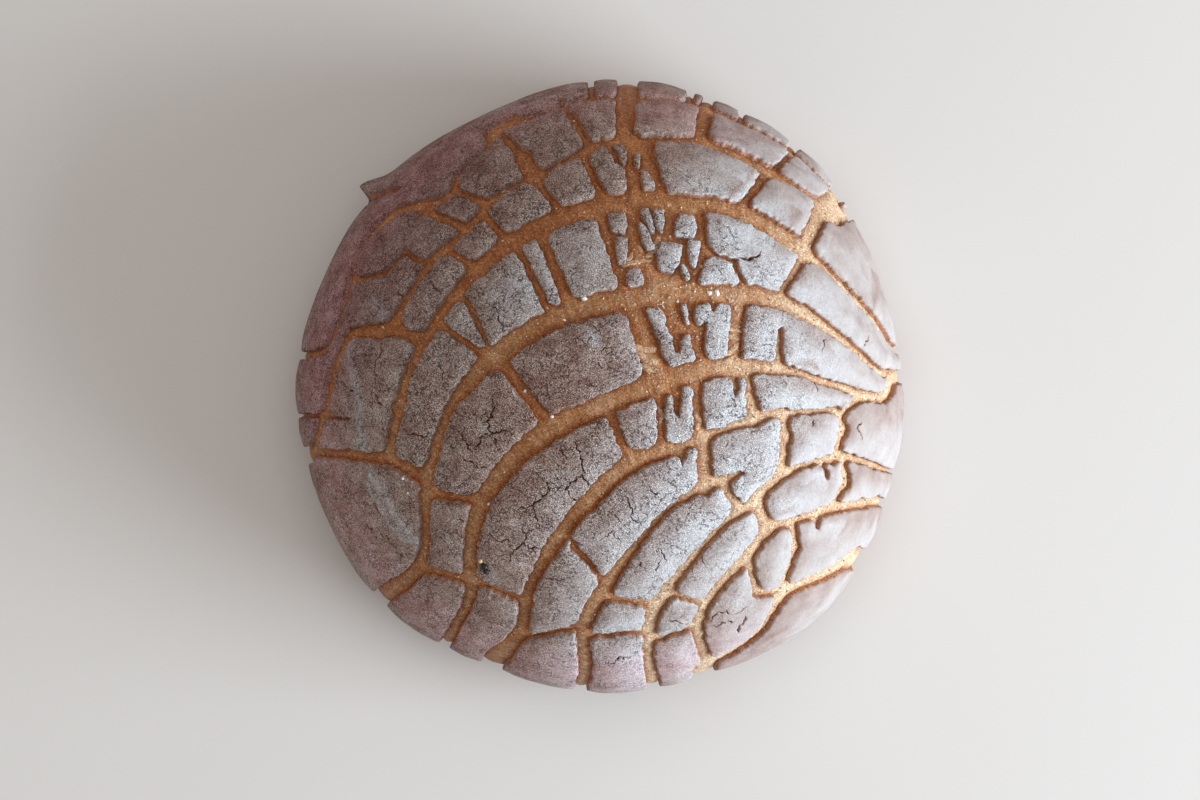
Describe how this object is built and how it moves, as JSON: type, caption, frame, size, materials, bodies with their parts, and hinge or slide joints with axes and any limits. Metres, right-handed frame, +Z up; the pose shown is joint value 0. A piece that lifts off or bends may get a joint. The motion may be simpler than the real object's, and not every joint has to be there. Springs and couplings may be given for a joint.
{
  "type": "concha sweet bun",
  "caption": "Round sweet bread bun on a flat baked base, its dome covered by a scored sugar-paste crust that has cracked into separate plates over golden dough.",
  "frame": {"origin": "centre of the box that holds the bun, on the surface that it stands on", "axes": "+Z up through the dome, -Y and +X towards the hinge of the shell scores, +Y towards the scores' far side"},
  "size_m": [0.1168, 0.1174, 0.0563],
  "materials": {
    "dough": "matte, baked dough skin, golden brown, paler where it stretched",
    "crust": "matte, dry sugar paste, greyish cocoa brown, grainy and finely cracked"
  },
  "bodies": {
    "root": {"bun": "dough", "crust_plate_01": "crust", "crust_plate_02": "crust", "crust_plate_03": "crust", "crust_plate_04": "crust", "crust_plate_05": "crust", "crust_plate_06": "crust", "crust_plate_07": "crust", "crust_plate_08": "crust", "crust_plate_09": "crust", "crust_plate_10": "crust", "crust_plate_11": "crust", "crust_plate_12": "crust", "crust_plate_13": "crust", "crust_plate_14": "crust", "crust_plate_15": "crust", "crust_plate_16": "crust", "crust_plate_17": "crust", "crust_plate_18": "crust", "crust_plate_19": "crust", "crust_plate_20": "crust", "crust_plate_21": "crust", "crust_plate_22": "crust", "crust_plate_23": "crust", "crust_plate_24": "crust", "crust_plate_25": "crust", "crust_plate_26": "crust", "crust_plate_27": "crust", "crust_plate_28": "crust", "crust_plate_29": "crust", "crust_plate_30": "crust", "crust_plate_31": "crust", "crust_plate_32": "crust", "crust_plate_33": "crust", "crust_plate_34": "crust", "crust_plate_35": "crust", "crust_plate_36": "crust", "crust_plate_37": "crust", "crust_plate_38": "crust", "crust_plate_39": "crust", "crust_plate_40": "crust", "crust_plate_41": "crust", "crust_plate_42": "crust", "crust_plate_43": "crust", "crust_plate_44": "crust", "crust_plate_45": "crust", "crust_plate_46": "crust", "crust_plate_47": "crust", "crust_plate_48": "crust", "crust_plate_49": "crust", "crust_plate_50": "crust", "crust_plate_51": "crust", "crust_plate_52": "crust", "crust_plate_53": "crust", "crust_plate_54": "crust", "crust_plate_55": "crust", "crust_plate_56": "crust", "crust_plate_57": "crust", "crust_plate_58": "crust", "crust_plate_59": "crust"}
  },
  "joints": []
}
